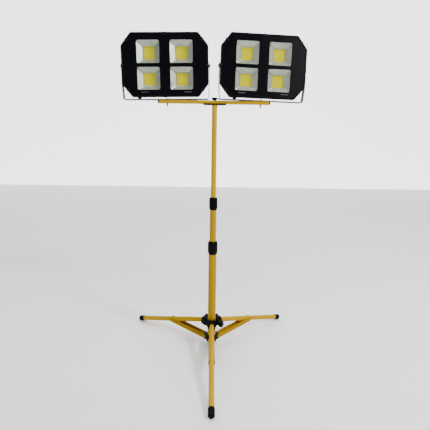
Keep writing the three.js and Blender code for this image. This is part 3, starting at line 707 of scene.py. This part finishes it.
WINDOW = {"wide": 90.2 * MM, "high": 87.4 * MM, "corner": 7 * MM, "step_x": 131.5 * MM, "step_z": 102 * MM}
CHIP = {"wide": 46 * MM, "high": 49 * MM}
CHAMFER = {"x": 40 * MM, "z": 50 * MM}
CHAMFER_LOSS = {"x": 0.45, "z": 0.35}    # how much shorter a chamfer gets with an outline's inset
CORNER_R = 9 * MM
LUG = {"r": 7 * MM, "proud": 1.6 * MM, "set_back": 5 * MM}


def window_centres():
    """The middles of a lamp's four windows: the upper two, then the lower two, each from the left."""
    return [(sx * WINDOW["step_x"] / 2, sz * WINDOW["step_z"] / 2) for sz in (1, -1) for sx in (-1, 1)]


def rounded_polygon(points, r):
    """A convex outline, anticlockwise, with its corners rounded to radius r."""
    steps = 5
    outline = []
    count = len(points)
    for i in range(count):
        before, here, after = (Vector(points[(i + k) % count]) for k in (-1, 0, 1))
        back, ahead = (before - here).normalized(), (after - here).normalized()
        half = back.angle(ahead) / 2
        centre = here + (back + ahead).normalized() * (r / math.sin(half))
        cut = r / math.tan(half)
        start, end = here + back * cut - centre, here + ahead * cut - centre
        first = math.atan2(start.y, start.x)
        turn = (math.atan2(end.y, end.x) - first) % (2 * math.pi)
        for k in range(steps + 1):
            angle = first + turn * k / steps
            outline.append((centre.x + r * math.cos(angle), centre.y + r * math.sin(angle)))
    return outline


def octagon(half_x, half_z, inset=0.0):
    """A lamp's outline, of the given half width and height, drawn inset further in."""
    x, z = half_x - inset, half_z - inset
    cut_x, cut_z = (CHAMFER[key] - inset * CHAMFER_LOSS[key] for key in ("x", "z"))
    points = [(x, z - cut_z), (x - cut_x, z), (cut_x - x, z), (-x, z - cut_z),
              (-x, cut_z - z), (cut_x - x, -z), (x - cut_x, -z), (x, cut_z - z)]
    return rounded_polygon(points, CORNER_R)


def lug_spots(half_x, half_z):
    """The middles of the frame's front screw lugs: one on each chamfer and one at the top."""
    sunk = LUG["r"] - LUG["proud"]
    slant = math.hypot(CHAMFER["x"], CHAMFER["z"])
    x = half_x - CHAMFER["x"] / 2 - sunk * CHAMFER["z"] / slant
    z = half_z - CHAMFER["z"] / 2 - sunk * CHAMFER["x"] / slant
    return [(sx * x, sz * z) for sz in (1, -1) for sx in (-1, 1)] + [(0, half_z - sunk)]


def front_frame_pieces(side):
    """The cast bezel with its screw lugs, the black print with four windows, its marks and the screws."""
    matrix = head_frame(side)
    low, high = local_box(f"front_frame_{side}", matrix)
    half_x, half_z = (high.x - low.x) / 2, (high.z - low.z) / 2 - LUG["proud"]
    body = f"head_{side}"
    rim = 7 * MM
    outer, inner = octagon(half_x, half_z), octagon(half_x, half_z, rim)
    bezel = [standing(slab([outer, inner], low.y, high.y, 1.4 * MM))]
    spots = lug_spots(half_x, half_z)
    for x, z in spots:
        bezel.append(standing(slab([circle(x, z, LUG["r"])], low.y + 0.2 * MM, high.y, 1 * MM)))
    low_lug = circle(0, LUG["r"] - LUG["proud"] - half_z, LUG["r"])
    bezel.append(standing(slab([low_lug], low.y + LUG["set_back"], high.y, 1 * MM)))
    mesh = finished(merged(*bezel), "bezel")
    node = f"front_frame_{side}"
    place(f"{node}_bezel", mesh, matrix, body, BLACK_CAST, [node])
    opening = (WINDOW["wide"], WINDOW["high"], WINDOW["corner"])
    windows = [rounded_rectangle(*opening, x, z) for x, z in window_centres()]
    print_face = low.y + 0.9 * MM
    outline = octagon(half_x, half_z, rim - 1 * MM)
    mask = standing(slab([outline] + windows, print_face, low.y + 3 * MM, 0.3 * MM))
    place(f"front_print_{side}", finished(mask, "mask"), matrix, body, PRINTED)
    marks_piece(side, print_face)
    spots += [(half_x - 4.2 * MM, 0), (4.2 * MM - half_x, 0)]
    for number, (x, z) in enumerate(spots, 1):
        seat = matrix @ Matrix.Translation((x, low.y + 1.4 * MM, z))
        screw_piece(f"frame_screw_{side}_{number}", seat, body)


MARK = {
    "wide": 4.2 * MM, "high": 3.6 * MM, "pitch": 6 * MM, "count": 5,
    "from_side": (28 * MM, 21 * MM), "below": 9.5 * MM,
}


def marks_piece(side, face):
    """Two faint rows of plain dashes printed below the lower windows."""
    matrix = head_frame(side)
    edge = (WINDOW["step_x"] + WINDOW["wide"]) / 2
    z = -(WINDOW["step_z"] + WINDOW["high"]) / 2 - MARK["below"]
    dashes = []
    from_left, from_right = MARK["from_side"]
    for middle in (from_left - edge, edge - from_right):
        for i in range(MARK["count"]):
            x = middle + (i - (MARK["count"] - 1) / 2) * MARK["pitch"]
            dash = rounded_rectangle(MARK["wide"], MARK["high"], 0.6 * MM, x, z, 3)
            dashes.append(standing(slab([dash], face - 0.05 * MM, face + 0.1 * MM)))
    mesh = finished(merged(*dashes), "marks")
    place(f"print_marks_{side}", mesh, matrix, f"head_{side}", MARKS)


SCREW_R = 2.9 * MM


def screw_piece(name, matrix, body):
    """A small pan-head screw, facing -Y."""
    r = SCREW_R
    crown = [(r, 0.6 * MM), (r * 0.85, 1.1 * MM), (r * 0.5, 1.4 * MM), (0, 1.5 * MM)]
    head = lathe([(0, 0), (r, 0)] + crown, 24)
    head.transform(along_y(-1))
    place(name, finished(head, name), matrix, body, SCREW)


def reflector_piece(side):
    """Four funnels in one tray: rounded mouths that narrow to the chips, with satin walls."""
    matrix = head_frame(side)
    node = f"reflector_{side}"
    mouth = local_box(f"glass_{side}", matrix)[1].y + 0.2 * MM
    back = local_box(node, matrix)[1].y
    # Each section of a funnel: its depth, then a share of a window or chip with a margin, and its corners.
    sections = [
        (mouth, WINDOW, 1.035, 0, 7.5 * MM), (mouth + 0.6 * MM, WINDOW, 1, 0, 6 * MM),
        (mouth + 3 * MM, WINDOW, 0.955, 0, 5.6 * MM),
        (back - 3 * MM, CHIP, 1, 7 * MM, 2.4 * MM), (back, CHIP, 1, 3 * MM, 2 * MM),
    ]
    bm = bmesh.new()
    for x, z in window_centres():
        rows = []
        for y, opening, share, margin, corner in sections:
            wide, high = (opening[key] * share + margin for key in ("wide", "high"))
            loop = rounded_rectangle(wide, high, corner, x, z)
            rows.append([bm.verts.new((px, y, pz)) for px, pz in loop])
        for first, second in zip(rows, rows[1:]):
            for i in range(len(first)):
                j = (i + 1) % len(first)
                bm.faces.new((first[i], first[j], second[j], second[i]))
        outer = [bm.verts.new((v.co.x, back + 0.1 * MM, v.co.z)) for v in rows[0]]
        for i in range(len(outer)):
            j = (i + 1) % len(outer)
            bm.faces.new((rows[0][j], rows[0][i], outer[i], outer[j]))
            bm.faces.new((rows[-1][i], rows[-1][j], outer[j], outer[i]))
    mesh = finished(bm, node)
    place(f"{node}_tray", mesh, matrix, f"head_{side}", SILVER, [node], smooth=28)


def chip_pieces(side):
    """Each chip: a white ceramic carrier with a slightly raised, yellow phosphor square on it."""
    matrix = head_frame(side)
    face = local_box(f"led_board_{side}", matrix)[0].y
    body = f"head_{side}"
    for number, (x, z) in enumerate(window_centres(), 1):
        spot = matrix @ Matrix.Translation((x, face, z))
        outline = rounded_rectangle(CHIP["wide"] + 4 * MM, CHIP["high"] + 4 * MM, 1.5 * MM)
        carrier = standing(slab([outline], 0.5 * MM, 1.5 * MM, 0.2 * MM))
        mesh = finished(carrier, "carrier")
        place(f"chip_carrier_{side}_{number}", mesh, spot, body, CERAMIC)
        square = rounded_rectangle(CHIP["wide"], CHIP["high"], 2.4 * MM)
        gel = standing(slab([square], -0.1 * MM, 0.7 * MM, 0.35 * MM))
        place(f"chip_phosphor_{side}_{number}", finished(gel, "gel"), spot, body, PHOSPHOR)


def housing_pieces(side):
    """The finned casting, and the cable gland: a hexagon nut, a ribbed collar and a tapered cone."""
    matrix = head_frame(side)
    node = f"housing_{side}"
    body = f"head_{side}"
    refined_piece(node, "casting", body, BLACK_CAST, "black_cast", 1.1 * MM, 2, 35)
    gland = f"cable_gland_{side}"
    low, high = local_box(gland, matrix)
    r = (high.x - low.x) / 2
    top = high.z - 8 * MM
    tip_r = 4.3 * MM
    end = low.z - top
    nut = hexagon_prism(2 * r * 0.92, 0, 6 * MM, 0.8 * MM)
    nut.transform(Matrix.Rotation(math.radians(180), 4, "X"))
    cone = lathe([(0, -6 * MM), (r * 0.94, -6 * MM), (r * 0.94, end + 7.5 * MM), (r * 0.88, end + 6 * MM),
                  (tip_r + 0.6 * MM, end + 1 * MM), (tip_r - 0.2 * MM, end), (0, end)], 40)
    ridges = lathe([(0, -5.8 * MM), (r * 0.99, -5.8 * MM), (r * 0.99, -7 * MM), (r * 0.94, -7.6 * MM),
                    (0, -7.6 * MM)], 40)
    spot = matrix @ Matrix.Translation(((low.x + high.x) / 2, (low.y + high.y) / 2, top))
    mesh = finished(merged(nut, cone, ridges), gland)
    place(f"{gland}_nut", mesh, spot, body, BLACK_PLASTIC, [gland])


def yoke_piece(side):
    """A strap bent to a U: upright arms with rounded ends, leaning in below to a floor with an oblong pad."""
    matrix = head_frame(side)
    node = f"yoke_{side}"
    low, high = local_box(node, matrix)
    half, half_wide = high.x, (high.y - low.y) / 2
    thick = 2.5 * MM
    pad = 0.6 * MM
    floor_z = low.z + pad
    bend = 5 * MM
    foot = half - 3.7 * MM
    upright_from = -76 * MM

    def right_half(gap):
        """The strap's right half from its arm's end down to the floor, gap inside the outer face."""
        return ([(half - gap, 0.0), (half - gap, upright_from)]
                + arc(foot - bend, floor_z + bend, bend - gap, 0, -90, 8))

    outside, inside = right_half(0.0), right_half(thick)
    mirrored = [[(-x, z) for x, z in reversed(side_path)] for side_path in (outside, inside)]
    outline = outside + mirrored[0] + mirrored[1][::-1] + inside[::-1]
    strip = standing(slab([outline], -half_wide, half_wide))
    rounded_edges(strip, 0.35 * MM, 2, 60)
    parts = [strip]
    for sign in (1, -1):
        end = arc(0, 0, half_wide, 0, 180, 20)
        tab = slab([end + [(-half_wide, -0.4 * MM), (half_wide, -0.4 * MM)]], 0, thick, 0.3 * MM)
        tab.transform(LENGTH_ALONG_X)
        parts.append((tab, Matrix.Translation((half - thick if sign > 0 else -half, 0, 0))))
    pad_x, pad_r = 5 * MM, 8 * MM
    oblong = arc(pad_x, 0, pad_r, -90, 90, 12) + arc(-pad_x, 0, pad_r, 90, 270, 12)
    parts.append(slab([oblong], floor_z - pad, floor_z + 0.3 * MM, 0.2 * MM))
    # The strap's dark grey is partly painted shade.
    place(f"{node}_strap", finished(merged(*parts), node), matrix, node, GALVANISED_SHADED, [node])


THREAD_TURNS = 12                        # one to a millimetre


def bolt_pieces(side):
    """The two pivot bolts in the yoke's arms, and the threaded bolt that holds the yoke on the crossbar."""
    matrix = head_frame(side)
    for way in ("outer", "inner"):
        node = f"pivot_bolt_{side}_{way}"
        low, high = local_box(node, matrix)
        sign = 1 if high.x > 0 else -1
        tip = max(abs(low.x), abs(high.x))
        seat = tip - 4 * MM
        root = min(abs(low.x), abs(high.x))
        washer = lathe([(0, seat), (7.6 * MM, seat), (7.8 * MM, seat + 0.4 * MM), (7.5 * MM, seat + 1 * MM),
                        (0, seat + 1 * MM)], 40)
        head = hexagon_prism(12.4 * MM, seat + 0.9 * MM, tip, 0.9 * MM)
        shank = lathe([(0, root), (4 * MM, root), (4 * MM, seat), (0, seat)], 32)
        bm = merged(washer, head, shank)
        bm.transform(along_x(sign))
        place(f"{node}_hex", finished(bm, node), matrix, f"head_{side}", DARK_BOLT, [node])
    node = f"yoke_bolt_{side}"
    low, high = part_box(node)
    middle = (low + high) / 2
    head_low = high.z - 2.6 * MM
    head = hexagon_prism(11 * MM, head_low, high.z, 0.8 * MM)
    flange = lathe([(0, head_low), (8 * MM, head_low), (8 * MM, head_low + 1.4 * MM),
                    (5.8 * MM, head_low + 2 * MM), (0, head_low + 2 * MM)], 40)
    thread = [(0, low.z), (2.4 * MM, low.z), (3 * MM, low.z + 0.8 * MM)]
    for turn in range(1, THREAD_TURNS + 1):
        z = low.z + turn * MM
        thread += [(3 * MM, z), (2.6 * MM, z + 0.4 * MM), (3 * MM, z + 0.8 * MM)]
    thread += [(3 * MM, head_low + 0.1 * MM), (0, head_low + 0.1 * MM)]
    bm = merged(head, flange, lathe(thread, 32))
    spot = Matrix.Translation((middle.x, middle.y, 0))
    place(f"{node}_hex", finished(bm, node), spot, "bar", DARK_BOLT, [node])


def glass_piece(side):
    """A lamp's front pane."""
    matrix = head_frame(side)
    node = f"glass_{side}"
    low, high = local_box(node, matrix)
    outline = rounded_rectangle(high.x - low.x, high.z - low.z, 4 * MM)
    pane = standing(slab([outline], low.y, high.y, 0.3 * MM))
    place(f"{node}_pane", finished(pane, node), matrix, f"head_{side}", CLEAR, [node])


def build_heads():
    for side in SIDES:
        front_frame_pieces(side)
        glass_piece(side)
        reflector_piece(side)
        chip_pieces(side)
        housing_pieces(side)
        yoke_piece(side)
        bolt_pieces(side)


# ---- CAD nodes that stay, with their own finishes -----------------------------------------------------

KEPT = {
    "lock_sleeve_lower": WHITE_PLASTIC, "lock_sleeve_upper": WHITE_PLASTIC, "mast_top_plug": ZINC,
    "gasket_left": RUBBER, "gasket_right": RUBBER,
    "driver_left": WHITE_PLASTIC, "driver_right": WHITE_PLASTIC,
    "bar_nut_left": ZINC, "bar_nut_right": ZINC,
    "led_board_left": ZINC, "led_board_right": ZINC,
}


def finish_kept_nodes():
    for node, material in KEPT.items():
        data = frame["nodes"][node].data
        data.materials.clear()
        data.materials.append(material)


# ---- studio -------------------------------------------------------------------------------------------

WORLD_GLOW = 0.34
BACKDROP_GLOW = 2.4
BACKDROP_AT = (0, 6, 10)
BACKDROP_HALF = 14
FLOOR_HALF = 30
# Each light: its place, the point it faces, its two sides in metres and its power in watts.
LIGHTS = {
    "key": ((2.7, -1.5, 3.0), (0, 0.1, 0.9), (0.5, 0.5), 132),
    "top": ((0.2, -1.3, 3.3), (0, 0, 1.1), (1.4, 1.0), 34),
    "fill": ((-2.2, -1.8, 1.8), (0, 0.1, 0.8), (1.5, 2.0), 6),
    "sheen": ((1.35, -2.2, 1.9), (0.2, 0.1, 1.2), (0.5, 1.2), 10),
}


def area_light(name, place_at, aim_at, size, power):
    """A white rectangular light that points at aim_at."""
    data = bpy.data.lights.new(name, "AREA")
    data.shape = "RECTANGLE"
    data.size, data.size_y = size
    data.energy = power
    light = bpy.data.objects.new(name, data)
    light.location = place_at
    light.rotation_euler = (Vector(aim_at) - Vector(place_at)).to_track_quat("-Z", "Y").to_euler()
    bpy.context.scene.collection.objects.link(light)


def stage_sheet(name, material, matrix, half):
    """A flat square sheet of the studio."""
    bm = bmesh.new()
    bmesh.ops.create_grid(bm, x_segments=1, y_segments=1, size=half)
    bm.transform(matrix)
    mesh = bpy.data.meshes.new(name)
    bm.to_mesh(mesh)
    bm.free()
    mesh.materials.append(material)
    sheet = bpy.data.objects.new(name, mesh)
    bpy.context.scene.collection.objects.link(sheet)


def add_backdrop():
    """A glowing white sheet well behind the object."""
    glow = Nodes("bright_backdrop")
    glow.set(Base_Color=(0.9, 0.9, 0.9, 1), Roughness=1.0)
    glow.set(Emission_Color=(1, 1, 1, 1), Emission_Strength=BACKDROP_GLOW)
    upright_sheet = Matrix.Translation(BACKDROP_AT) @ Matrix.Rotation(math.radians(90), 4, "X")
    stage_sheet("backdrop", glow.material, upright_sheet, BACKDROP_HALF)


def build_studio():
    world = bpy.data.worlds.new("studio")
    bpy.context.scene.world = world
    world.use_nodes = True
    background = world.node_tree.nodes["Background"]
    background.inputs["Color"].default_value = (1, 1, 1, 1)
    background.inputs["Strength"].default_value = WORLD_GLOW
    pale = Nodes("pale_floor")
    pale.set(Base_Color=(0.9, 0.9, 0.9, 1), Roughness=0.9)
    stage_sheet("floor", pale.material, Matrix.Translation((0, 0, -0.5 * MM)), FLOOR_HALF)
    add_backdrop()
    for name, settings in LIGHTS.items():
        area_light(name, *settings)


build_mast()
build_tripod()
build_crossbar()
build_heads()
finish_kept_nodes()
build_studio()
